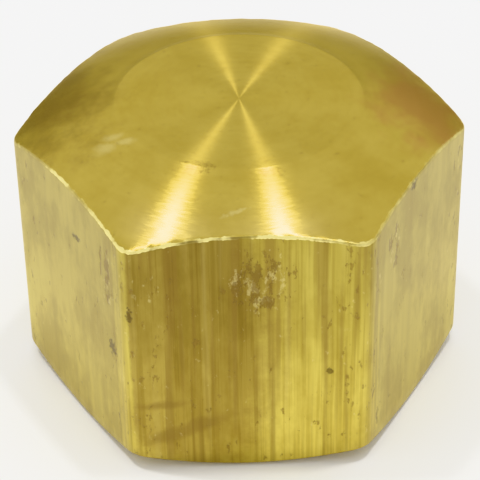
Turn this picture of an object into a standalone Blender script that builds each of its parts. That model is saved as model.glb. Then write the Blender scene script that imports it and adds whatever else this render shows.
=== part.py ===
"""Hexagonal brass pipe cap with a taper thread, as one turned piece.

The cap stands on its open end. The origin is the centre of the open end's
plane, +Z runs to the closed end, and two corners of the hexagon lie on X.
"""

import math

import bmesh
import bpy
from mathutils import Matrix

# Hexagonal bar that the cap is cut from
ACROSS_FLATS = 0.0254
BAR_CORNER_RADIUS = 0.0014
CAP_HEIGHT = 0.0197

# Closed end: a faced disc with a small shoulder, then a crown that steepens outwards
FACE_RADIUS = 0.00835
FACE_SHOULDER = 0.00015
CROWN_START_ANGLE = math.radians(11.0)
CROWN_RADIUS = 0.018

# Open end: a flat ring, and a chamfer that starts just inside the flats
RING_INSET = 0.0005
BASE_CHAMFER_ANGLE = math.radians(25.0)

# Taper pipe thread, 14 to the inch, with a taper of 1 in 16 on the diameter
THREAD_PITCH = 0.0254 / 14.0
THREAD_TAPER = 1.0 / 32.0
THREAD_HALF_ANGLE = math.radians(30.0)
PITCH_RADIUS_AT_MOUTH = 0.009886
CREST_FLAT = 0.00022
ROOT_FLAT = 0.0001

# Blind bore behind the thread
END_WALL = 0.0029
BORE_FLOOR_ANGLE = math.radians(10.0)
TAP_CLEARANCE = 0.0008
TAP_LEAD_TURNS = 2.0
MOUTH_CLEARANCE = 0.00035
MOUTH_CHAMFER_ANGLE = math.radians(45.0)

# How far cutters pass through the faces that they cut
OVERSHOOT = 0.001
THREAD_OVERLAP = 0.0001

# Facets
TURNED_STEPS = 72
THREAD_STEPS = 36
CROWN_SEGMENTS = 5
CORNER_SEGMENTS = 4
MERGE_DISTANCE = 0.00001

# Brass
BRASS_COLOUR = (0.56, 0.43, 0.13, 1.0)
BRASS_ROUGHNESS = 0.32


def half_flats():
    """Distance from the axis to a flat."""
    return ACROSS_FLATS / 2.0


def half_corners():
    """Distance from the axis to the sharp corner of the bar."""
    return half_flats() / math.cos(math.radians(30.0))


def thread_height():
    """Depth of the thread form between its crest and root flats."""
    flank_run = (THREAD_PITCH - CREST_FLAT - ROOT_FLAT) / 2.0
    return flank_run / math.tan(THREAD_HALF_ANGLE)


def crest_radius(depth):
    """Radius of the bore, which carries the thread crests, at a depth from the mouth."""
    return PITCH_RADIUS_AT_MOUTH - thread_height() / 2.0 - depth * THREAD_TAPER


def floor_rim_depth():
    """Depth at which the bore's wall meets its slightly coned floor."""
    slope = math.tan(BORE_FLOOR_ANGLE)
    tip = CAP_HEIGHT - END_WALL
    return (tip - crest_radius(0.0) * slope) / (1.0 - THREAD_TAPER * slope)


def thread_end_depth():
    """Depth at which the last turn of thread has run out."""
    return floor_rim_depth() - TAP_CLEARANCE


def collection(name):
    """A new collection in the scene."""
    group = bpy.data.collections.new(name)
    bpy.context.scene.collection.children.link(group)
    return group


def mesh_object(name, bm, group):
    """Turn a bmesh into an object in a collection."""
    mesh = bpy.data.meshes.new(name)
    bm.to_mesh(mesh)
    bm.free()
    item = bpy.data.objects.new(name, mesh)
    group.objects.link(item)
    return item


def outline_object(name, points, closed, group):
    """Edges through (radius, z) points in the XZ plane, ready for a Screw modifier."""
    bm = bmesh.new()
    verts = [bm.verts.new((radius, 0.0, z)) for radius, z in points]
    for first, second in zip(verts, verts[1:]):
        bm.edges.new((first, second))
    if closed:
        bm.edges.new((verts[-1], verts[0]))
    return mesh_object(name, bm, group)


def add_screw(item, steps, rise=0.0, turns=1):
    """Turn an outline about Z, one full circle for each turn."""
    screw = item.modifiers.new("Turn", "SCREW")
    screw.axis = "Z"
    screw.angle = math.tau
    screw.screw_offset = rise
    screw.iterations = turns
    screw.steps = steps
    screw.render_steps = steps
    screw.use_merge_vertices = rise == 0.0
    screw.merge_threshold = MERGE_DISTANCE
    return screw


def crown_points(outer_radius):
    """The crown's arc, from the shoulder of the face outwards and down."""
    start = math.sin(CROWN_START_ANGLE)
    top = CAP_HEIGHT - FACE_SHOULDER
    points = []
    for index in range(CROWN_SEGMENTS + 1):
        run = (outer_radius - FACE_RADIUS) * index / CROWN_SEGMENTS
        angle = math.asin(start + run / CROWN_RADIUS)
        drop = CROWN_RADIUS * (math.cos(CROWN_START_ANGLE) - math.cos(angle))
        points.append((FACE_RADIUS + run, top - drop))
    return points


def make_turned_envelope(group):
    """Everything that the lathe leaves: face, crown, base chamfer and ring."""
    outer_radius = half_corners() + OVERSHOOT
    ring_radius = half_flats() - RING_INSET
    chamfer_rise = (outer_radius - ring_radius) * math.tan(BASE_CHAMFER_ANGLE)
    points = [(0.0, CAP_HEIGHT), (FACE_RADIUS, CAP_HEIGHT)]
    points += crown_points(outer_radius)
    points += [(outer_radius, chamfer_rise), (ring_radius, 0.0), (0.0, 0.0)]
    envelope = outline_object("turned_envelope", points, False, group)
    add_screw(envelope, TURNED_STEPS)
    return envelope


def make_bore_cutter(group):
    """Blind taper bore with its countersunk mouth."""
    rim = floor_rim_depth()
    mouth_radius = crest_radius(0.0) + thread_height() + MOUTH_CLEARANCE
    slope = 1.0 / math.tan(MOUTH_CHAMFER_ANGLE)
    sink_depth = (mouth_radius - crest_radius(0.0)) / (1.0 / slope - THREAD_TAPER)
    points = [
        (0.0, CAP_HEIGHT - END_WALL),
        (crest_radius(rim), rim),
        (crest_radius(sink_depth), sink_depth),
        (mouth_radius, 0.0),
        (mouth_radius, -OVERSHOOT),
        (0.0, -OVERSHOOT),
    ]
    cutter = outline_object("bore_cutter", points, False, group)
    add_screw(cutter, TURNED_STEPS)
    return cutter


def thread_section():
    """Section of the groove, at the mouth, as (radius, z) points about its middle."""
    inner = crest_radius(0.0) - THREAD_OVERLAP
    outer = crest_radius(0.0) + thread_height()
    half_root = ROOT_FLAT / 2.0
    half_width = half_root + (outer - inner) * math.tan(THREAD_HALF_ANGLE)
    return [(inner, half_width), (outer, half_root), (outer, -half_root), (inner, -half_width)]


def taper_thread(bm):
    """Draw the helix in along its depth, and fade the groove where the tap's lead ends.

    Past the end of the thread the groove stays half the overlap deep, just inside the bore.
    """
    inner = crest_radius(0.0) - THREAD_OVERLAP
    lead = TAP_LEAD_TURNS * THREAD_PITCH
    for vert in bm.verts:
        radius = math.hypot(vert.co.x, vert.co.y)
        fade = min(1.0, (thread_end_depth() - vert.co.z) / lead)
        beyond = radius - inner
        if beyond > THREAD_OVERLAP / 2.0:
            beyond = max(beyond * fade, THREAD_OVERLAP / 2.0)
        wanted = inner + beyond - vert.co.z * THREAD_TAPER
        vert.co.x *= wanted / radius
        vert.co.y *= wanted / radius


def make_thread_cutter(group):
    """Right-hand helical groove that starts below the mouth and runs out near the floor.

    It is turned by half a facet of the bore, so that its edges cross the bore's facets cleanly.
    """
    start = -THREAD_PITCH
    points = [(radius, z + start) for radius, z in thread_section()]
    turns = math.ceil((thread_end_depth() - start) / THREAD_PITCH)
    helix = outline_object("thread_helix", points, True, group)
    add_screw(helix, THREAD_STEPS, THREAD_PITCH, turns)
    bpy.context.view_layer.update()
    evaluated = helix.evaluated_get(bpy.context.evaluated_depsgraph_get())
    mesh = bpy.data.meshes.new_from_object(evaluated)
    bm = bmesh.new()
    bm.from_mesh(mesh)
    ends = [edge for edge in bm.edges if edge.is_boundary]
    bmesh.ops.holes_fill(bm, edges=ends, sides=0)
    taper_thread(bm)
    half_facet = Matrix.Rotation(math.pi / TURNED_STEPS, 3, "Z")
    bmesh.ops.rotate(bm, verts=bm.verts, matrix=half_facet)
    bmesh.ops.recalc_face_normals(bm, faces=bm.faces)
    bpy.data.objects.remove(helix)
    bpy.data.meshes.remove(mesh)
    return mesh_object("thread_cutter", bm, group)


def make_bar(group):
    """Length of hexagonal bar with rounded corners, a little longer than the cap."""
    bm = bmesh.new()
    radius = half_corners()
    length = CAP_HEIGHT + 2.0 * OVERSHOOT
    bmesh.ops.create_cone(bm, cap_ends=True, segments=6, radius1=radius, radius2=radius, depth=length)
    corner = max(bm.verts, key=lambda vert: vert.co.x)
    turn = math.atan2(corner.co.y, corner.co.x)
    for vert in bm.verts:
        x, y = vert.co.x, vert.co.y
        vert.co.x = x * math.cos(turn) + y * math.sin(turn)
        vert.co.y = y * math.cos(turn) - x * math.sin(turn)
        vert.co.z += CAP_HEIGHT / 2.0
    upright = [edge for edge in bm.edges if abs(edge.verts[0].co.z - edge.verts[1].co.z) > length / 2.0]
    setback = BAR_CORNER_RADIUS * math.tan(math.radians(30.0))
    bmesh.ops.bevel(bm, geom=upright, offset=setback, segments=CORNER_SEGMENTS, profile=0.5, affect="EDGES")
    return mesh_object("cap_body", bm, group)


def brass():
    """Bright drawn and turned brass."""
    material = bpy.data.materials.new("brass")
    material.use_nodes = True
    shader = material.node_tree.nodes["Principled BSDF"]
    shader.inputs["Base Color"].default_value = BRASS_COLOUR
    shader.inputs["Metallic"].default_value = 1.0
    shader.inputs["Roughness"].default_value = BRASS_ROUGHNESS
    return material


def hide_cutter(cutter):
    """Keep a cutter out of the finished part."""
    cutter.hide_render = True
    cutter.display_type = "WIRE"


def add_boolean(item, cutter, operation):
    """Cut or trim the body with a cutter."""
    boolean = item.modifiers.new(cutter.name, "BOOLEAN")
    boolean.object = cutter
    boolean.operation = operation
    boolean.solver = "EXACT"
    hide_cutter(cutter)


def make_cap():
    """Trim the bar to its turned shape, then bore and tap it."""
    parts = collection("pipe_cap")
    cutters = collection("cutters")
    cap = make_bar(parts)
    cap.data.materials.append(brass())
    add_boolean(cap, make_turned_envelope(cutters), "INTERSECT")
    add_boolean(cap, make_bore_cutter(cutters), "DIFFERENCE")
    add_boolean(cap, make_thread_cutter(cutters), "DIFFERENCE")
    cap.data.shade_smooth()
    cap.data.set_sharp_from_angle(angle=math.radians(25.0))


def remove_everything():
    """Start from an empty scene."""
    for item in list(bpy.data.objects):
        bpy.data.objects.remove(item)


remove_everything()
make_cap()
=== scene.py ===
"""Looks of a hexagonal brass pipe cap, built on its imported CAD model."""
import math

import bpy
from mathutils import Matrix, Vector


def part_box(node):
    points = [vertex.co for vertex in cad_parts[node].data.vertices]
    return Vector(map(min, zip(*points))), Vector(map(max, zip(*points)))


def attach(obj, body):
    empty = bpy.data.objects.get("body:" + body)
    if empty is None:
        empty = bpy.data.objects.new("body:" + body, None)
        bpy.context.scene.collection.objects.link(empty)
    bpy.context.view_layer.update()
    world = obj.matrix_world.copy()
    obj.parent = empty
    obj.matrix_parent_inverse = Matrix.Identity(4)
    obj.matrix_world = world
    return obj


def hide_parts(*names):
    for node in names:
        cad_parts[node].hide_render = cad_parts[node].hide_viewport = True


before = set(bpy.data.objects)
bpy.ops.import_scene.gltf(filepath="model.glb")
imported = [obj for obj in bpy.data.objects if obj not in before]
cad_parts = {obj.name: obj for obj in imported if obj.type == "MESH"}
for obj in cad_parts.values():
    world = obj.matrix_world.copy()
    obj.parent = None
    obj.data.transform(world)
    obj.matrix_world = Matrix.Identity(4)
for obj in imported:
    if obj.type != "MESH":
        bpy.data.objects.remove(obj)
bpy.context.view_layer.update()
scene = bpy.context.scene

# ---------------------------------------------------------------- camera
# A long lens looks down on the closed end from the front, nearly square to one flat.
# Azimuth 0 is the front, which is -Y. The roll is the small tilt of a hand-held camera.
CAMERA_AZIMUTH = math.radians(-1.35)
CAMERA_ELEVATION = math.radians(36.27)
CAMERA_ROLL = math.radians(1.03)
CAMERA_DISTANCE = 0.1384
CAMERA_LENS = 157.2
CAMERA_AIM = Vector((-0.00011, -0.00058, 0.00902))

backward = Vector(
    (
        math.sin(CAMERA_AZIMUTH) * math.cos(CAMERA_ELEVATION),
        -math.cos(CAMERA_AZIMUTH) * math.cos(CAMERA_ELEVATION),
        math.sin(CAMERA_ELEVATION),
    )
)
camera = bpy.data.objects.new("camera", bpy.data.cameras.new("camera"))
scene.collection.objects.link(camera)
camera.location = CAMERA_AIM + backward * CAMERA_DISTANCE
upright = (-backward).to_track_quat("-Z", "Y").to_matrix().to_4x4()
camera.rotation_euler = (upright @ upright.Rotation(-CAMERA_ROLL, 4, "Z")).to_euler()
camera.data.lens = CAMERA_LENS
camera.data.sensor_width = 36.0
camera.data.clip_start = 0.01
scene.camera = camera

# ---------------------------------------------------------------- cap body
# The cap is one piece of hexagonal brass bar. A lathe faces and crowns the closed end, chamfers
# the open end, bores it and taps a taper pipe thread, so every surface but the flats is turned.

# The bar: its size across flats, and upright corners rounded as drawn. Sizes are in metres
low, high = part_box("cap_body")
HALF_SIDE = math.radians(30.0)  # half the angle that one side of the hexagon takes up
CAP_HEIGHT = high.z - low.z
HALF_FLATS = high.y
SHARP_CORNER = HALF_FLATS / math.cos(HALF_SIDE)
CORNER_RADIUS = (SHARP_CORNER - high.x) / (1.0 / math.cos(HALF_SIDE) - 1.0)

# The closed end: a flat disc, a low shoulder at its rim, and a crown that falls on an arc
FACE_RADIUS = 0.00835
FACE_SHOULDER = 0.00015
FACE_RIM_WIDTH = 3.0 * FACE_SHOULDER
CROWN_START_ANGLE = math.radians(11.0)
CROWN_RADIUS = 0.018

# The open end: a flat ring inside a chamfer
RING_INSET = 0.0005
BASE_CHAMFER_ANGLE = math.radians(25.0)

# The bore: 14 threads an inch on a taper, a countersunk mouth and a drill-point floor
THREAD_PITCH = 0.0254 / 14.0
THREAD_TAPER = 1.0 / 32.0
CREST_RADIUS = 0.009239
THREAD_HEIGHT = 0.001294
COUNTERSINK = 0.00035
TAP_LEAD = 2.0 * THREAD_PITCH
MOUTH_RADIUS = CREST_RADIUS + THREAD_HEIGHT + COUNTERSINK
END_WALL = 0.0029
FLOOR_RIM_DEPTH = 0.01526
FLOOR_TIP_DEPTH = CAP_HEIGHT - END_WALL
UNTAPPED_DEPTH = 0.0008
THREAD_END = FLOOR_RIM_DEPTH - UNTAPPED_DEPTH

# One pitch of the 60 degree form: share of the pitch, and share of the full depth
THREAD_FORM = [
    (0.0, 0.0),
    (0.055, 0.0),
    (0.075, 0.03),
    (0.27, 0.485),
    (0.455, 0.96),
    (0.475, 1.0),
    (0.525, 1.0),
    (0.545, 0.96),
    (0.73, 0.485),
    (0.925, 0.03),
    (0.945, 0.0),
]

# How finely the cap is made: columns round it, which crowd towards the corners, and rows along it
COLUMNS = 432
COLUMN_CROWDING = 0.6
FACE_ROWS = 12
CROWN_ROWS = 16
FLAT_ROWS = 18
CHAMFER_ROWS = 5
RING_ROWS = 4
FLOOR_ROWS = 8
SEAM_MERGE = 0.0000008

# Broken edges, as a bevel, which the finer edges get a share of. The crown's edge also has a
# small burr, and a row of faces close under it keeps the break narrow
EDGE_BREAK = 0.00013
EDGE_SEGMENTS = 3
FINE_EDGE = 0.45
UNDER_EDGE = 0.02
BURR_WAVE = 0.00025
BURR_SCALE = 1100.0
SHARP_ANGLE = math.radians(32.0)

# Kinds of section station, in the order that the tree's Index Switch takes them
TURNED, CROWN, FLAT, CHAMFER, THREAD = range(5)


def spread(kind, count, start=0.0, end=1.0, edges=None):
    """Stations of one kind, evenly spread. Edges says how much to break the edge at a station."""
    edges = edges or {}
    steps = [start + (end - start) * index / (count - 1) for index in range(count)]
    return [(kind, (step, 0.0, 0.0), edges.get(index, 0.0)) for index, step in enumerate(steps)]


def turned(points, edges=None):
    """Stations at fixed (radius, height) points."""
    edges = edges or {}
    return [(TURNED, (0.0, radius, z), edges.get(index, 0.0)) for index, (radius, z) in enumerate(points)]


def thread_stations():
    """Stations that follow the thread form: pitches along the bore, and depth of the groove there."""
    pitches = math.ceil(FLOOR_RIM_DEPTH / THREAD_PITCH) + 1
    stations = []
    for pitch in range(-1, pitches):
        stations += [(THREAD, (pitch + along, rise, 0.0), 0.0) for along, rise in THREAD_FORM]
    return stations


def section_stations():
    """The cap's half section, from the middle of the closed end to the middle of the bore's floor."""
    top = CAP_HEIGHT
    ring = HALF_FLATS - RING_INSET
    rim = FACE_RADIUS - FACE_RIM_WIDTH
    face = [(rim * index / FACE_ROWS, top) for index in range(FACE_ROWS + 1)]
    shoulder_foot = (FACE_RADIUS, top - FACE_SHOULDER)
    stations = turned(face + [shoulder_foot], {FACE_ROWS: FINE_EDGE})
    stations += spread(CROWN, CROWN_ROWS, 1.0 / CROWN_ROWS, 1.0, {CROWN_ROWS - 1: 1.0})
    stations += [(FLAT, (UNDER_EDGE, 0.0, 0.0), 0.0)]
    stations += spread(FLAT, FLAT_ROWS, 1.0 / (FLAT_ROWS + 1), FLAT_ROWS / (FLAT_ROWS + 1))
    stations += spread(CHAMFER, CHAMFER_ROWS, edges={0: 1.0, CHAMFER_ROWS - 1: FINE_EDGE})
    inward = MOUTH_RADIUS - ring
    stations += turned([(ring + inward * index / RING_ROWS, 0.0) for index in range(1, RING_ROWS + 1)])
    stations += thread_stations()
    rim_radius = CREST_RADIUS - FLOOR_RIM_DEPTH * THREAD_TAPER
    for index in range(FLOOR_ROWS + 1):
        share = index / FLOOR_ROWS
        height = FLOOR_RIM_DEPTH + (FLOOR_TIP_DEPTH - FLOOR_RIM_DEPTH) * share
        stations += turned([(rim_radius * (1.0 - share), height)])
    return stations


def section_mesh():
    """One vertex for each station, with what the tree needs to know about it."""
    stations = section_stations()
    mesh = bpy.data.meshes.new("cap_section")
    mesh.from_pydata([place for _, place, _ in stations], [], [])
    kinds = mesh.attributes.new("kind", "FLOAT", "POINT")
    kinds.data.foreach_set("value", [float(kind) for kind, _, _ in stations])
    edges = mesh.attributes.new("edge", "FLOAT", "POINT")
    edges.data.foreach_set("value", [edge for _, _, edge in stations])
    return mesh


def feed(tree, socket, value):
    """Give an input a number, or a link from another node's output."""
    if isinstance(value, bpy.types.NodeSocket):
        tree.links.new(value, socket)
    else:
        socket.default_value = value


def calc(tree, operation, *values):
    """A Math node."""
    made = tree.nodes.new("ShaderNodeMath")
    made.operation = operation
    for socket, value in zip(made.inputs, values):
        feed(tree, socket, value)
    return made.outputs[0]


def plus(tree, first, second):
    """The sum of two values."""
    return calc(tree, "ADD", first, second)


def minus(tree, first, second):
    """The first value less the second."""
    return calc(tree, "SUBTRACT", first, second)


def times(tree, first, second):
    """The product of two values."""
    return calc(tree, "MULTIPLY", first, second)


def swing(tree, value, reach):
    """A value from 0 to 1 made to swing either side of zero."""
    return times(tree, minus(tree, value, 0.5), reach)


def node(tree, kind, values=None, **settings):
    """A node with its settings, and inputs given by name."""
    made = tree.nodes.new(kind)
    for name, value in settings.items():
        setattr(made, name, value)
    for name, value in (values or {}).items():
        feed(tree, made.inputs[name], value)
    return made


def point(tree, x, y, z):
    """A Combine XYZ node."""
    return node(tree, "ShaderNodeCombineXYZ", {"X": x, "Y": y, "Z": z}).outputs[0]


def named(tree, name):
    """A value that the mesh carries under a name."""
    reader = node(tree, "GeometryNodeInputNamedAttribute", {"Name": name}, data_type="FLOAT")
    return reader.outputs["Attribute"]


def stored(tree, mesh, name, domain, value):
    """The mesh, carrying a value under a name."""
    kinds = {"data_type": "FLOAT", "domain": domain}
    keeper = node(tree, "GeometryNodeStoreNamedAttribute", {"Name": name, "Value": value}, **kinds)
    tree.links.new(mesh, keeper.inputs["Geometry"])
    return keeper.outputs[0]


def sampled(tree, source, data_type, value, index):
    """A value read from one station of the section."""
    reader = node(tree, "GeometryNodeSampleIndex", data_type=data_type, domain="POINT", clamp=True)
    tree.links.new(source, reader.inputs["Geometry"])
    tree.links.new(value, reader.inputs["Value"])
    tree.links.new(index, reader.inputs["Index"])
    return reader.outputs[0]


def at_point(tree, value, index):
    """A value read at one vertex, for use on the edges that meet there."""
    reader = node(tree, "GeometryNodeFieldAtIndex", domain="POINT", data_type="FLOAT")
    tree.links.new(value, reader.inputs["Value"])
    tree.links.new(index, reader.inputs["Index"])
    return reader.outputs[0]


def hexagon_reach(tree, turn, half_flats, corner_radius):
    """Distance from the axis to the bar's side at an angle, round its corners too."""
    off_corner = calc(tree, "PINGPONG", turn, HALF_SIDE)
    on_flat = calc(tree, "DIVIDE", half_flats, calc(tree, "COSINE", minus(tree, HALF_SIDE, off_corner)))
    centre = calc(tree, "DIVIDE", minus(tree, half_flats, corner_radius), math.cos(HALF_SIDE))
    across = times(tree, centre, calc(tree, "SINE", off_corner))
    chord = minus(tree, calc(tree, "POWER", corner_radius, 2.0), calc(tree, "POWER", across, 2.0))
    on_corner = times(tree, centre, calc(tree, "COSINE", off_corner))
    on_corner = plus(tree, on_corner, calc(tree, "SQRT", calc(tree, "MAXIMUM", chord, 0.0)))
    setback = times(tree, corner_radius, math.tan(HALF_SIDE))
    side = calc(tree, "DIVIDE", half_flats, math.cos(HALF_SIDE))
    tangent = minus(tree, side, times(tree, setback, math.sin(HALF_SIDE)))
    limit = calc(tree, "ARCTAN2", times(tree, setback, math.cos(HALF_SIDE)), tangent)
    rounded = calc(tree, "LESS_THAN", off_corner, limit)
    chooser = node(tree, "GeometryNodeSwitch", input_type="FLOAT")
    tree.links.new(rounded, chooser.inputs["Switch"])
    tree.links.new(on_flat, chooser.inputs["False"])
    tree.links.new(on_corner, chooser.inputs["True"])
    return chooser.outputs[0]


def crown_height(tree, radius, given):
    """Height of the crown's arc at a radius."""
    out = times(tree, given["Crown Radius"], math.sin(CROWN_START_ANGLE))
    run = plus(tree, minus(tree, radius, given["Face Radius"]), out)
    squares = minus(tree, calc(tree, "POWER", given["Crown Radius"], 2.0), calc(tree, "POWER", run, 2.0))
    fall = times(tree, given["Crown Radius"], math.cos(CROWN_START_ANGLE))
    top = minus(tree, given["Height"], FACE_SHOULDER)
    return plus(tree, minus(tree, top, fall), calc(tree, "SQRT", squares))


def thread_place(tree, turn, along, rise, given):
    """Radius and height on the tapped bore: groove, lead at the far end, and countersink."""
    pitches = plus(tree, along, calc(tree, "DIVIDE", turn, math.tau))
    height = times(tree, pitches, given["Pitch"])
    height = calc(tree, "MINIMUM", calc(tree, "MAXIMUM", height, 0.0), FLOOR_RIM_DEPTH)
    crest = minus(tree, CREST_RADIUS, times(tree, height, THREAD_TAPER))
    lead = calc(tree, "DIVIDE", minus(tree, THREAD_END, height), TAP_LEAD)
    depth = calc(tree, "MINIMUM", rise, calc(tree, "MAXIMUM", lead, 0.0))
    groove = plus(tree, crest, times(tree, depth, given["Thread Height"]))
    countersink = minus(tree, MOUTH_RADIUS, height)
    return calc(tree, "MAXIMUM", groove, countersink), height


CAP_SIZES = ["Height", "Half Flats", "Corner Radius", "Face Radius", "Crown Radius"]
CAP_SIZES += ["Pitch", "Thread Height"]

# A station's place X runs from 0 to 1 along its stretch, so it is 1 at the crown's outer edge.
# A face has the mean kind of its corners, and those within the margin of a flat are drawn brass
AT_OUTER_EDGE = 0.999
KIND_MARGIN = 0.6
ABOVE_FLOOR = 0.0005


def cap_tree():
    """Turns the section round the axis, trims it to the hexagon and cuts the thread."""
    tree = bpy.data.node_groups.new("turn_and_tap", "GeometryNodeTree")
    tree.interface.new_socket("Geometry", in_out="INPUT", socket_type="NodeSocketGeometry")
    for name in CAP_SIZES:
        tree.interface.new_socket(name, in_out="INPUT", socket_type="NodeSocketFloat")
    tree.interface.new_socket("Columns", in_out="INPUT", socket_type="NodeSocketInt")
    for name in ("Turned", "Drawn", "Tapped"):
        tree.interface.new_socket(name, in_out="INPUT", socket_type="NodeSocketMaterial")
    tree.interface.new_socket("Geometry", in_out="OUTPUT", socket_type="NodeSocketGeometry")
    given = node(tree, "NodeGroupInput").outputs
    stations = given["Geometry"]

    rows = node(tree, "GeometryNodeAttributeDomainSize", component="MESH")
    tree.links.new(stations, rows.inputs["Geometry"])
    rows = rows.outputs["Point Count"]
    across = plus(tree, given["Columns"], 1.0)
    grid = node(tree, "GeometryNodeMeshGrid", {"Vertices X": across, "Vertices Y": rows})
    index = node(tree, "GeometryNodeInputIndex").outputs[0]
    column = calc(tree, "FLOOR", calc(tree, "DIVIDE", plus(tree, index, 0.5), rows))
    row = minus(tree, index, times(tree, column, rows))

    even = times(tree, calc(tree, "DIVIDE", column, given["Columns"]), math.tau)
    crowd = times(tree, calc(tree, "SINE", times(tree, even, 6.0)), COLUMN_CROWDING / 6.0)
    turn = minus(tree, even, crowd)

    place = sampled(tree, stations, "FLOAT_VECTOR", node(tree, "GeometryNodeInputPosition").outputs[0], row)
    place = node(tree, "ShaderNodeSeparateXYZ", {"Vector": place}).outputs
    kind = sampled(tree, stations, "FLOAT", named(tree, "kind"), row)
    edge = sampled(tree, stations, "FLOAT", named(tree, "edge"), row)

    side = hexagon_reach(tree, turn, given["Half Flats"], given["Corner Radius"])
    ring = minus(tree, given["Half Flats"], RING_INSET)
    chamfer = math.tan(BASE_CHAMFER_ANGLE)

    crown_run = times(tree, minus(tree, side, given["Face Radius"]), place["X"])
    crown_radius = plus(tree, given["Face Radius"], crown_run)
    crown_z = crown_height(tree, crown_radius, given)
    flat_top = crown_height(tree, side, given)
    round_place = point(tree, calc(tree, "COSINE", turn), calc(tree, "SINE", turn), 0.0)
    burr_grain = {"Vector": round_place, "Scale": BURR_SCALE * HALF_FLATS, "Detail": 3.0}
    burr = swing(tree, node(tree, "ShaderNodeTexNoise", burr_grain).outputs[0], BURR_WAVE)
    at_edge = calc(tree, "GREATER_THAN", place["X"], AT_OUTER_EDGE)
    crown_z = plus(tree, crown_z, times(tree, burr, at_edge))
    flat_foot = times(tree, minus(tree, side, ring), chamfer)
    flat_drop = times(tree, minus(tree, flat_foot, flat_top), place["X"])
    flat_z = plus(tree, flat_top, flat_drop)
    chamfer_run = times(tree, minus(tree, side, ring), minus(tree, 1.0, place["X"]))
    chamfer_radius = plus(tree, ring, chamfer_run)
    chamfer_z = times(tree, chamfer_run, chamfer)
    thread_radius, thread_z = thread_place(tree, turn, place["X"], place["Y"], given)

    choices = [
        (place["Y"], place["Z"]),
        (crown_radius, crown_z),
        (side, flat_z),
        (chamfer_radius, chamfer_z),
        (thread_radius, thread_z),
    ]
    chooser = node(tree, "GeometryNodeIndexSwitch", data_type="VECTOR")
    while len(chooser.index_switch_items) < len(choices):
        chooser.index_switch_items.new()
    tree.links.new(kind, chooser.inputs["Index"])
    for number, (radius, z) in enumerate(choices):
        tree.links.new(point(tree, radius, z, 0.0), chooser.inputs[str(number)])
    chosen = node(tree, "ShaderNodeSeparateXYZ", {"Vector": chooser.outputs[0]}).outputs
    x = times(tree, chosen["X"], calc(tree, "COSINE", turn))
    y = times(tree, chosen["X"], calc(tree, "SINE", turn))

    keep_kind = stored(tree, grid.outputs["Mesh"], "kind", "POINT", kind)
    keep_edge = stored(tree, keep_kind, "edge", "POINT", edge)
    placed = node(tree, "GeometryNodeSetPosition")
    tree.links.new(keep_edge, placed.inputs["Geometry"])
    tree.links.new(point(tree, x, y, chosen["Y"]), placed.inputs["Position"])
    closed = node(tree, "GeometryNodeMergeByDistance", {"Distance": SEAM_MERGE})
    tree.links.new(placed.outputs[0], closed.inputs["Geometry"])
    outward = node(tree, "GeometryNodeFlipFaces")
    tree.links.new(closed.outputs[0], outward.inputs["Mesh"])

    edge_value = named(tree, "edge")
    ends = node(tree, "GeometryNodeInputMeshEdgeVertices").outputs
    along = calc(tree, "MINIMUM", at_point(tree, edge_value, ends[0]), at_point(tree, edge_value, ends[1]))
    weighted = stored(tree, outward.outputs[0], "bevel_weight_edge", "EDGE", along)

    on_flats = node(tree, "FunctionNodeCompare", data_type="FLOAT", operation="EQUAL")
    tree.links.new(named(tree, "kind"), on_flats.inputs["A"])
    on_flats.inputs["B"].default_value = float(FLAT)
    on_flats.inputs["Epsilon"].default_value = KIND_MARGIN
    place = node(tree, "GeometryNodeInputPosition").outputs[0]
    place = node(tree, "ShaderNodeSeparateXYZ", {"Vector": place}).outputs
    reach = plus(tree, times(tree, place["X"], place["X"]), times(tree, place["Y"], place["Y"]))
    inside = calc(tree, "LESS_THAN", calc(tree, "SQRT", reach), MOUTH_RADIUS)
    below = calc(tree, "LESS_THAN", place["Z"], FLOOR_TIP_DEPTH + ABOVE_FLOOR)
    in_bore = times(tree, inside, below)
    real = node(tree, "GeometryNodeRealizeInstances")
    tree.links.new(weighted, real.inputs[0])
    out = real.outputs[0]
    for name, selection in (("Turned", None), ("Drawn", on_flats.outputs[0]), ("Tapped", in_bore)):
        finish = node(tree, "GeometryNodeSetMaterial")
        tree.links.new(out, finish.inputs["Geometry"])
        tree.links.new(given[name], finish.inputs["Material"])
        if selection is not None:
            tree.links.new(selection, finish.inputs["Selection"])
        out = finish.outputs[0]
    result = node(tree, "NodeGroupOutput")
    tree.links.new(out, result.inputs[0])
    return tree


# Cut brass is yellow. It goes olive and then orange-brown where it has been handled, and along the crown's
# worn edge it is painted bright as a highlight
BRASS_YELLOW = (0.60, 0.465, 0.10)
BRASS_OCHRE = (0.46, 0.335, 0.055)
BRASS_BROWN = (0.25, 0.16, 0.04)
BRASS_ORANGE = (0.50, 0.27, 0.085)
BRASS_PALE = (0.85, 0.75, 0.34)
BRASS_EDGE_HIGHLIGHT = (0.97, 0.86, 0.34)


def new_brass(name, roughness, anisotropy, coat):
    """Solid brass, with the settings that are the same all over it."""
    material = bpy.data.materials.new(name)
    material.use_nodes = True
    shader = material.node_tree.nodes["Principled BSDF"]
    shader.inputs["Metallic"].default_value = 1.0
    shader.inputs["Roughness"].default_value = roughness
    shader.inputs["Anisotropic"].default_value = anisotropy
    shader.inputs["Coat Weight"].default_value = coat
    shader.inputs["Coat Roughness"].default_value = 0.3
    shader.inputs["Specular Tint"].default_value = (0.85, 0.75, 0.45, 1.0)
    return material, material.node_tree, shader


def vector_calc(tree, operation, *values):
    """A Vector Math node."""
    made = node(tree, "ShaderNodeVectorMath", operation=operation)
    for socket, value in zip(made.inputs, values):
        feed(tree, socket, value)
    return made.outputs["Value"] if operation in ("LENGTH", "DISTANCE", "DOT_PRODUCT") else made.outputs[0]


def scaled(tree, vector, amount):
    """A vector times a number."""
    made = node(tree, "ShaderNodeVectorMath", {"Vector": vector, "Scale": amount}, operation="SCALE")
    return made.outputs[0]


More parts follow.
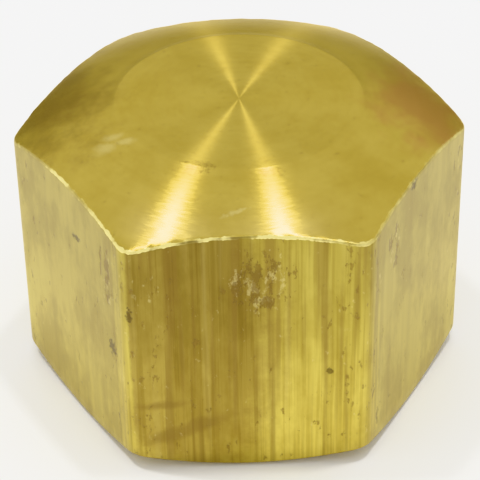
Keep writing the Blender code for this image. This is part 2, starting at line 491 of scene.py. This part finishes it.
def own_place(tree):
    """The surface's own place on the cap, in metres, and its three parts."""
    place = node(tree, "ShaderNodeTexCoord").outputs["Object"]
    return place, node(tree, "ShaderNodeSeparateXYZ", {"Vector": place}).outputs


def noise(tree, place, scale, detail=2.0, roughness=0.5, stretch=None):
    """Noise from 0 to 1 at a place, stretched if asked."""
    if stretch:
        place = vector_calc(tree, "MULTIPLY", place, stretch)
    values = {"Vector": place, "Scale": scale, "Detail": detail, "Roughness": roughness}
    return node(tree, "ShaderNodeTexNoise", values).outputs[0]


def eased(tree, value, low, high, to_low=0.0, to_high=1.0):
    """A value taken smoothly from one range to another."""
    reader = node(tree, "ShaderNodeMapRange", interpolation_type="SMOOTHSTEP")
    names = ("Value", "From Min", "From Max", "To Min", "To Max")
    for name, given in zip(names, (value, low, high, to_low, to_high)):
        feed(tree, reader.inputs[name], given)
    return reader.outputs[0]


def blended(tree, share, first, second):
    """Two colours mixed by a share."""
    mixer = node(tree, "ShaderNodeMix", data_type="RGBA")
    feed(tree, mixer.inputs[0], share)
    for socket, colour in ((mixer.inputs[6], first), (mixer.inputs[7], second)):
        feed(tree, socket, (*colour, 1.0) if isinstance(colour, tuple) else colour)
    return mixer.outputs[2]


def tinted(tree, share, colour, tint):
    """A colour multiplied by a tint, by a share."""
    made = blended(tree, share, colour, tint)
    made.node.blend_type = "MULTIPLY"
    return made


def patch(tree, place, centre, size, lean=(0.0, 0.0, 0.0), wander=None, soft=0.5):
    """1 inside an oval round a point, in metres, fading to 0 at its rim. Wander makes the rim ragged."""
    values = {"Vector": place, "Location": centre, "Rotation": lean, "Scale": size}
    oval = node(tree, "ShaderNodeMapping", values, vector_type="TEXTURE").outputs[0]
    away = vector_calc(tree, "LENGTH", oval)
    if wander is not None:
        away = plus(tree, away, wander)
    return eased(tree, away, 1.0 - soft, 1.0, 1.0, 0.0)


def patches(tree, place, marks, wander, soft=0.5):
    """The strongest of several patches, each given by its centre and size."""
    strongest, *rest = [patch(tree, place, *mark, wander=wander, soft=soft) for mark in marks]
    for other in rest:
        strongest = calc(tree, "MAXIMUM", strongest, other)
    return strongest


def worn_edge(tree, place):
    """1 along the crown's edge, which is worn and carries a painted highlight, with gaps where it is less
    worn.
    """
    edge = node(tree, "ShaderNodeAttribute", attribute_name="edge").outputs["Fac"]
    split = node(tree, "ShaderNodeSeparateXYZ", {"Vector": place}).outputs
    gaps = noise(tree, place, 600.0, 3.0, 0.6)
    ragged = swing(tree, noise(tree, place, 2400.0, 3.0, 0.6), 0.9)
    wear_and_highlight = eased(tree, plus(tree, edge, ragged), 0.56, 0.68)
    wear_and_highlight = times(tree, wear_and_highlight, eased(tree, gaps, 0.4, 0.6, 0.1, 1.0))
    wear_and_highlight = times(tree, wear_and_highlight, eased(tree, split["Z"], 0.008, 0.012))
    return times(tree, wear_and_highlight, eased(tree, split["X"], 0.0064, 0.0078, 1.0, 0.3))


# Marks on the closed end, each a centre and a size in metres. They reach through the surface
THROUGH_CROWN = 0.01
ORANGE_CORNER = ((0.0118, 0.0002, 0.0184), (0.0048, 0.0060, THROUGH_CROWN))
HAZE_BESIDE_IT = ((0.0104, 0.0034, 0.0184), (0.0036, 0.0060, THROUGH_CROWN))
OLIVE_SIDE = ((-0.0118, 0.0022, 0.0184), (0.0052, 0.0092, THROUGH_CROWN))
OCHRE_SIDE = ((0.0085, -0.0078, 0.0185), (0.0046, 0.0038, THROUGH_CROWN))
RUB_MARKS = [
    ((-0.0084, -0.0046, 0.0194), (0.0009, 0.0007, THROUGH_CROWN)),
    ((-0.0071, -0.0043, 0.0195), (0.0009, 0.0005, THROUGH_CROWN)),
    ((-0.0079, -0.0037, 0.0195), (0.0009, 0.0005, THROUGH_CROWN)),
]
SCRATCH = ((-0.0006, -0.0111, 0.0188), (0.0013, 0.00018, THROUGH_CROWN), (0.0, 0.0, 0.3))
# Painted shade: darker patches just inside the disc's rim, where the bright rays fade
PAINTED_RIM_SHADES = [
    ((-0.0028, -0.0075, 0.0197), (0.0014, 0.0006, THROUGH_CROWN)),
    ((0.0014, -0.0081, 0.0197), (0.0011, 0.0004, THROUGH_CROWN)),
]


def turned_brass():
    """Faced and crowned end: fine rings from the tool, bright where they are square to a lamp."""
    material, tree, shader = new_brass("turned_brass", 0.245, 1.0, 0.3)
    place, split = own_place(tree)
    level = point(tree, split["X"], split["Y"], 0.0)
    radius = vector_calc(tree, "LENGTH", level)
    azimuth = calc(tree, "ARCTAN2", split["Y"], split["X"])
    outward = vector_calc(tree, "NORMALIZE", level)
    tree.links.new(outward, shader.inputs["Tangent"])

    # Tool marks: rings too fine to see one by one, and coarser ones that show as faint arcs
    hair_rings = noise(tree, point(tree, radius, 0.0, 0.0), 16000.0, 1.0)
    tool_rings = noise(tree, point(tree, radius, 0.0, 0.0), 2600.0, 3.0, 0.7)
    arc_place = point(tree, times(tree, radius, 2600.0), times(tree, azimuth, 3.0), 0.0)
    arcs = noise(tree, arc_place, 1.0, 3.0)
    ring_lean = swing(tree, hair_rings, 0.15)
    for rings, depth in ((tool_rings, 0.10), (arcs, 0.06)):
        ring_lean = plus(tree, ring_lean, swing(tree, rings, depth))
    normal = node(tree, "ShaderNodeNewGeometry").outputs["Normal"]
    normal = vector_calc(tree, "ADD", normal, scaled(tree, outward, ring_lean))
    normal = vector_calc(tree, "NORMALIZE", normal)

    # The tool shook a little, so each ring also leans to and fro along its length
    wobble_place = point(tree, times(tree, radius, 9000.0), times(tree, azimuth, 14.0), 0.0)
    wobble = swing(tree, noise(tree, wobble_place, 1.0, 2.0), 0.045)
    around = vector_calc(tree, "CROSS_PRODUCT", (0.0, 0.0, 1.0), outward)
    normal = vector_calc(tree, "ADD", normal, scaled(tree, around, wobble))
    tree.links.new(vector_calc(tree, "NORMALIZE", normal), shader.inputs["Normal"])

    # Handling: an orange-brown corner, an olive side, an ochre side, a pale rub and a short scratch
    wander = swing(tree, noise(tree, place, 500.0, 4.0, 0.6), 1.3)
    ragged = swing(tree, noise(tree, place, 2200.0, 3.0, 0.7), 3.0)
    torn = plus(tree, times(tree, wander, 0.7), times(tree, ragged, 0.3))
    orange = patch(tree, place, *ORANGE_CORNER, wander=wander, soft=0.85)
    haze = patch(tree, place, *HAZE_BESIDE_IT, wander=wander, soft=0.9)
    olive = patch(tree, place, *OLIVE_SIDE, wander=wander, soft=1.0)
    ochre = patch(tree, place, *OCHRE_SIDE, wander=wander, soft=1.0)
    rub = patches(tree, place, RUB_MARKS, torn, 0.8)
    scratch = patch(tree, place, *SCRATCH, wander=ragged, soft=0.7)
    mottle = noise(tree, place, 420.0, 4.0, 0.6)
    speckle = noise(tree, place, 2600.0, 3.0, 0.6)

    colour = blended(tree, eased(tree, mottle, 0.3, 0.75, 0.0, 0.45), BRASS_YELLOW, BRASS_OCHRE)
    colour = blended(tree, eased(tree, arcs, 0.35, 0.75, 0.0, 0.15), colour, BRASS_OCHRE)
    colour = blended(tree, times(tree, olive, 0.75), colour, BRASS_BROWN)
    colour = blended(tree, times(tree, haze, 0.15), colour, BRASS_BROWN)
    colour = blended(tree, times(tree, orange, 0.8), colour, BRASS_ORANGE)
    colour = blended(tree, times(tree, ochre, 0.6), colour, BRASS_OCHRE)
    colour = blended(tree, eased(tree, speckle, 0.62, 0.75, 0.0, 0.25), colour, BRASS_BROWN)
    # Painted shade where the bright rays fade at the disc's rim
    for mark in PAINTED_RIM_SHADES:
        shade = patch(tree, place, *mark, wander=ragged, soft=0.9)
        colour = blended(tree, times(tree, shade, 0.5), colour, BRASS_BROWN)
    bare = times(tree, calc(tree, "MAXIMUM", rub, scratch), 0.3)
    colour = blended(tree, bare, colour, BRASS_PALE)
    # Painted highlight along the crown's worn edge
    colour = blended(tree, worn_edge(tree, place), colour, BRASS_EDGE_HIGHLIGHT)
    tree.links.new(colour, shader.inputs["Base Color"])
    return material


# Drawn brass is painted lighter towards the open end and darker towards the closed end, as painted light
# and shade. The tints darken it under lines, clouds and the stain, and make the flats at the two sides a
# little greyer
BRASS_DRAWN_PAINTED_LIGHT_LOW = (0.80, 0.675, 0.15)
BRASS_DRAWN_PAINTED_SHADE_HIGH = (0.53, 0.435, 0.095)
BRASS_DARK = (0.09, 0.055, 0.02)
STAIN_TINT = (0.66, 0.60, 0.62)
CLOUD_TINT = (0.78, 0.74, 0.66)
SIDE_TINT = (0.84, 0.825, 0.90)

# Marks on the flats, each a centre and a size in metres, and a lean where it has one
FRONT = -0.0127
THROUGH_FLAT = 0.0004
THROUGH_KNOCK = 0.0008
STAIN = ((-0.0045, FRONT, 0.0115), (0.0083, THROUGH_FLAT, 0.0185), (0.0, -0.10, 0.0))
SCUFF = ((0.0008, FRONT, 0.0148), (0.0027, THROUGH_FLAT, 0.0036))
SMEARS = [
    ((-0.0036, FRONT, 0.0034), (0.0044, THROUGH_FLAT, 0.0008), (0.0, -0.35, 0.0)),
    ((-0.0056, FRONT, 0.0053), (0.0026, THROUGH_FLAT, 0.0005), (0.0, -0.1, 0.0)),
]
KNOCKS = [
    ((-0.0072, -0.0126, 0.0123), (0.00022, THROUGH_KNOCK, 0.0007)),
    ((0.0050, FRONT, 0.0077), (0.00028, THROUGH_KNOCK, 0.0003)),
    ((-0.0084, -0.0110, 0.0087), (0.0003, THROUGH_KNOCK, 0.00065)),
    ((-0.0104, -0.0074, 0.0146), (0.0003, THROUGH_KNOCK, 0.0003)),
    ((0.0105, -0.0076, 0.0177), (0.0003, THROUGH_KNOCK, 0.0006)),
]
DENTED_EDGES = [
    ((-0.0086, -0.0106, 0.0142), (0.0007, 0.0012, 0.0030)),
    ((0.0091, -0.0096, 0.0145), (0.0007, 0.0012, 0.0028)),
]

# Lines that a nick in the die scored down the front flat: place across it, middle and half length
SCORE_WIDTH = 0.0002
SCORED_LINES = [
    (-0.0041, 0.0095, 0.0075),
    (-0.0033, 0.0110, 0.0060),
    (-0.0022, 0.0085, 0.0080),
    (0.0025, 0.0125, 0.0070),
    (0.0048, 0.0080, 0.0090),
    (0.0057, 0.0100, 0.0080),
]


def drawn_brass():
    """Flats as the bar was drawn: long lines from the die, dull, stained and knocked in places."""
    material, tree, shader = new_brass("drawn_brass", 0.42, 0.5, 0.35)
    shader.inputs["Coat Roughness"].default_value = 0.4
    shader.inputs["Specular Tint"].default_value = (1.0, 1.0, 1.0, 1.0)
    place, split = own_place(tree)
    across = vector_calc(tree, "CROSS_PRODUCT", (0.0, 0.0, 1.0), place)
    tree.links.new(across, shader.inputs["Tangent"])

    # Noise drawn out along the bar, and how strongly each flat is lined: front and back the most
    hair_lines = noise(tree, place, 4200.0, 3.0, 0.6, (1.0, 1.0, 0.015))
    die_lines = noise(tree, place, 1100.0, 2.0, 0.6, (1.0, 1.0, 0.03))
    streaks = noise(tree, place, 520.0, 3.0, 0.6, (1.0, 1.0, 0.08))
    clouds = noise(tree, place, 330.0, 4.0, 0.65, (1.0, 1.0, 0.5))
    grain = noise(tree, place, 2000.0, 4.0, 0.7, (1.0, 1.0, 0.45))
    chips = noise(tree, place, 2400.0, 3.0, 0.65, (1.0, 1.0, 0.6))
    lined = eased(tree, calc(tree, "ABSOLUTE", split["Y"]), 0.0105, 0.0122, 0.22, 1.0)

    # The flat at the front: an ochre stain, a scuffed patch, two smears, knocks and scored lines
    wander = swing(tree, noise(tree, place, 650.0, 4.0, 0.7), 1.6)
    ragged = swing(tree, noise(tree, place, 3600.0, 3.0, 0.7), 3.0)
    score_wander = swing(tree, grain, 0.8)
    edge_wander = plus(tree, times(tree, wander, 0.25), times(tree, die_lines, 0.25))
    stain = patch(tree, place, *STAIN, wander=edge_wander, soft=0.35)
    scuff = patch(tree, place, *SCUFF, wander=wander, soft=0.7)
    knocks = patches(tree, place, KNOCKS, ragged)
    score_marks = []
    for sideways, height, reach in SCORED_LINES:
        score_marks.append(((sideways, FRONT, height), (SCORE_WIDTH, THROUGH_FLAT, reach)))
    scores = patches(tree, place, score_marks, score_wander, 0.9)

    # Pits gather on the scuff, along the upright corners and on two dented stretches of them
    off_corner = calc(tree, "PINGPONG", calc(tree, "ARCTAN2", split["Y"], split["X"]), HALF_SIDE)
    near_corner = eased(tree, off_corner, 0.04, 0.22, 1.0, 0.0)
    gather = calc(tree, "MAXIMUM", times(tree, near_corner, 0.3), scuff)
    gather = plus(tree, times(tree, gather, 0.16), times(tree, clouds, 0.1))
    gather = plus(tree, gather, times(tree, patches(tree, place, DENTED_EDGES, wander), 0.12))
    pits = eased(tree, plus(tree, grain, gather), 0.68, 0.76)
    flecks = eased(tree, plus(tree, chips, gather), 0.71, 0.85)

    # Painted light and shade: the flats lighter near the chamfer and darker towards the closed end, then
    # clouds, stain and lines
    painted_shade_up = minus(tree, eased(tree, split["Z"], 0.001, 0.017), 0.45)
    painted_shade_up = times(tree, painted_shade_up, eased(tree, lined, 0.3, 1.0, 0.6, 1.0))
    colour = blended(tree, plus(tree, painted_shade_up, 0.45), BRASS_DRAWN_PAINTED_LIGHT_LOW, BRASS_DRAWN_PAINTED_SHADE_HIGH)
    streaky = times(tree, eased(tree, streaks, 0.4, 0.62, 0.0, 0.85), lined)
    colour = tinted(tree, streaky, colour, CLOUD_TINT)
    cloudy = times(tree, eased(tree, clouds, 0.4, 0.62), eased(tree, lined, 0.3, 1.0, 0.85, 0.75))
    colour = tinted(tree, cloudy, colour, CLOUD_TINT)
    colour = tinted(tree, stain, colour, STAIN_TINT)
    colour = tinted(tree, eased(tree, lined, 1.0, 0.22), colour, SIDE_TINT)
    thin_lines = eased(tree, hair_lines, 0.48, 0.62, 0.0, 0.6)
    thin_lines = times(tree, thin_lines, eased(tree, lined, 0.3, 1.0, 0.15, 1.0))
    colour = tinted(tree, thin_lines, colour, CLOUD_TINT)
    dark_lines = times(tree, eased(tree, die_lines, 0.51, 0.64, 0.0, 0.5), lined)
    colour = blended(tree, dark_lines, colour, BRASS_BROWN)
    pale_lines = times(tree, eased(tree, die_lines, 0.44, 0.3, 0.0, 0.05), lined)
    colour = blended(tree, pale_lines, colour, BRASS_PALE)

    # Marks on top of it
    colour = blended(tree, times(tree, scores, 0.4), colour, BRASS_BROWN)
    colour = blended(tree, times(tree, scuff, 0.16), colour, BRASS_BROWN)
    for mark in SMEARS:
        smear = patch(tree, place, *mark, wander=wander, soft=0.8)
        colour = blended(tree, times(tree, smear, 0.55), colour, BRASS_BROWN)
    colour = blended(tree, times(tree, flecks, 0.3), colour, BRASS_PALE)
    colour = blended(tree, times(tree, pits, 0.6), colour, BRASS_BROWN)
    scuff_marks = times(tree, times(tree, pits, scuff), 0.2)
    dark_marks = calc(tree, "MAXIMUM", scuff_marks, times(tree, knocks, 0.65))
    colour = blended(tree, dark_marks, colour, BRASS_DARK)
    # Painted highlight along the crown's worn edge
    colour = blended(tree, worn_edge(tree, place), colour, BRASS_EDGE_HIGHLIGHT)
    tree.links.new(colour, shader.inputs["Base Color"])

    height = plus(tree, times(tree, hair_lines, 0.25), times(tree, die_lines, 0.35))
    height = times(tree, height, lined)
    height = minus(tree, height, calc(tree, "MAXIMUM", pits, knocks))
    bump = node(tree, "ShaderNodeBump", {"Strength": 0.6, "Distance": 0.00004, "Height": height})
    tree.links.new(bump.outputs[0], shader.inputs["Normal"])
    return material


def tapped_brass():
    """Bore and thread: bright cut metal with fine lines round it from the tap."""
    material, tree, shader = new_brass("tapped_brass", 0.3, 0.7, 0.0)
    place, _ = own_place(tree)
    upright = point(tree, 0.0, 0.0, 1.0)
    tree.links.new(upright, shader.inputs["Tangent"])
    lines = noise(tree, place, 900.0, 3.0, 0.6, (1.0, 1.0, 9.0))
    clouds = noise(tree, place, 350.0, 3.0)
    colour = blended(tree, eased(tree, lines, 0.35, 0.7, 0.0, 0.5), BRASS_YELLOW, BRASS_OCHRE)
    colour = blended(tree, eased(tree, clouds, 0.5, 0.75, 0.0, 0.4), colour, BRASS_BROWN)
    tree.links.new(colour, shader.inputs["Base Color"])
    bump = node(tree, "ShaderNodeBump", {"Strength": 0.4, "Distance": 0.00002, "Height": lines})
    tree.links.new(bump.outputs[0], shader.inputs["Normal"])
    return material


blank = bpy.data.objects.new("cap_blank", section_mesh())
scene.collection.objects.link(blank)
cut = blank.modifiers.new("Turn and tap", "NODES")
cut.node_group = cap_tree()
SETTINGS = {
    "Height": CAP_HEIGHT,
    "Half Flats": HALF_FLATS,
    "Corner Radius": CORNER_RADIUS,
    "Face Radius": FACE_RADIUS,
    "Crown Radius": CROWN_RADIUS,
    "Pitch": THREAD_PITCH,
    "Thread Height": THREAD_HEIGHT,
    "Columns": COLUMNS,
    "Turned": turned_brass(),
    "Drawn": drawn_brass(),
    "Tapped": tapped_brass(),
}
for item in cut.node_group.interface.items_tree:
    if item.in_out == "INPUT" and item.name in SETTINGS:
        cut[item.identifier] = SETTINGS[item.name]
breaks = blank.modifiers.new("Edge breaks", "BEVEL")
breaks.limit_method = "WEIGHT"
breaks.width = EDGE_BREAK
breaks.segments = EDGE_SEGMENTS
breaks.use_clamp_overlap = False
bpy.context.view_layer.update()
made = bpy.data.meshes.new_from_object(blank.evaluated_get(bpy.context.evaluated_depsgraph_get()))
made.name = "hexagonal_cap"
cap = bpy.data.objects.new("hexagonal_cap", made)
scene.collection.objects.link(cap)
bpy.data.objects.remove(blank)
cap.data.shade_smooth()
cap.data.set_sharp_from_angle(angle=SHARP_ANGLE)
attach(cap, "root")
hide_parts("cap_body")

# ---------------------------------------------------------------- stage and light
# The cap stands on a sheet of white paper, a hair below it. Two small round lamps high on the
# left and right make the bright bands across its rings. The white sky is dimmer low down.
FLOOR_REACH = 2.0
FLOOR_GAP = 0.00002
PAPER_WHITE = (0.93, 0.93, 0.93, 1.0)

corners = [(-1, -1), (1, -1), (1, 1), (-1, 1)]
floor_mesh = bpy.data.meshes.new("floor")
floor_mesh.from_pydata([(x * FLOOR_REACH, y * FLOOR_REACH, 0.0) for x, y in corners], [], [(0, 1, 2, 3)])
floor = bpy.data.objects.new("floor", floor_mesh)
scene.collection.objects.link(floor)
floor.location.z = -FLOOR_GAP
paper = bpy.data.materials.new("floor_paper")
paper.use_nodes = True
paper.node_tree.nodes["Principled BSDF"].inputs["Base Color"].default_value = PAPER_WHITE
floor.data.materials.append(paper)


def panel(name, direction, distance, size, power):
    """A soft round lamp that faces the cap."""
    lamp = bpy.data.lights.new(name, "AREA")
    lamp.shape = "DISK"
    lamp.size = size
    lamp.energy = power
    made = bpy.data.objects.new(name, lamp)
    scene.collection.objects.link(made)
    towards = Vector(direction).normalized()
    made.location = towards * distance
    made.rotation_euler = towards.to_track_quat("Z", "Y").to_euler()
    return made


panel("lamp_left", (-0.3005, 0.0886, 0.9497), distance=0.8, size=0.06, power=1.42)
panel("lamp_right", (0.1722, 0.0174, 0.985), distance=0.8, size=0.05, power=1.5)

world = bpy.data.worlds.new("studio")
world.use_nodes = True
sky = world.node_tree
direction = node(sky, "ShaderNodeTexCoord").outputs["Generated"]
towards = node(sky, "ShaderNodeSeparateXYZ", {"Vector": direction}).outputs
raised = eased(sky, towards["Z"], 0.05, 0.55)
overhead = plus(sky, times(sky, raised, 0.5), 0.45)
front = eased(sky, towards["Y"], -0.9, -0.1, 0.35, 0.0)
sides = eased(sky, calc(sky, "ABSOLUTE", towards["X"]), 0.6, 0.95, 0.0, 0.7)
low_glow = times(sky, plus(sky, front, sides), minus(sky, 1.0, raised))
feed(sky, sky.nodes["Background"].inputs["Strength"], plus(sky, overhead, low_glow))
sky.nodes["Background"].inputs["Color"].default_value = (1.0, 1.0, 1.0, 1.0)
scene.world = world
scene.view_settings.view_transform = "Khronos PBR Neutral"
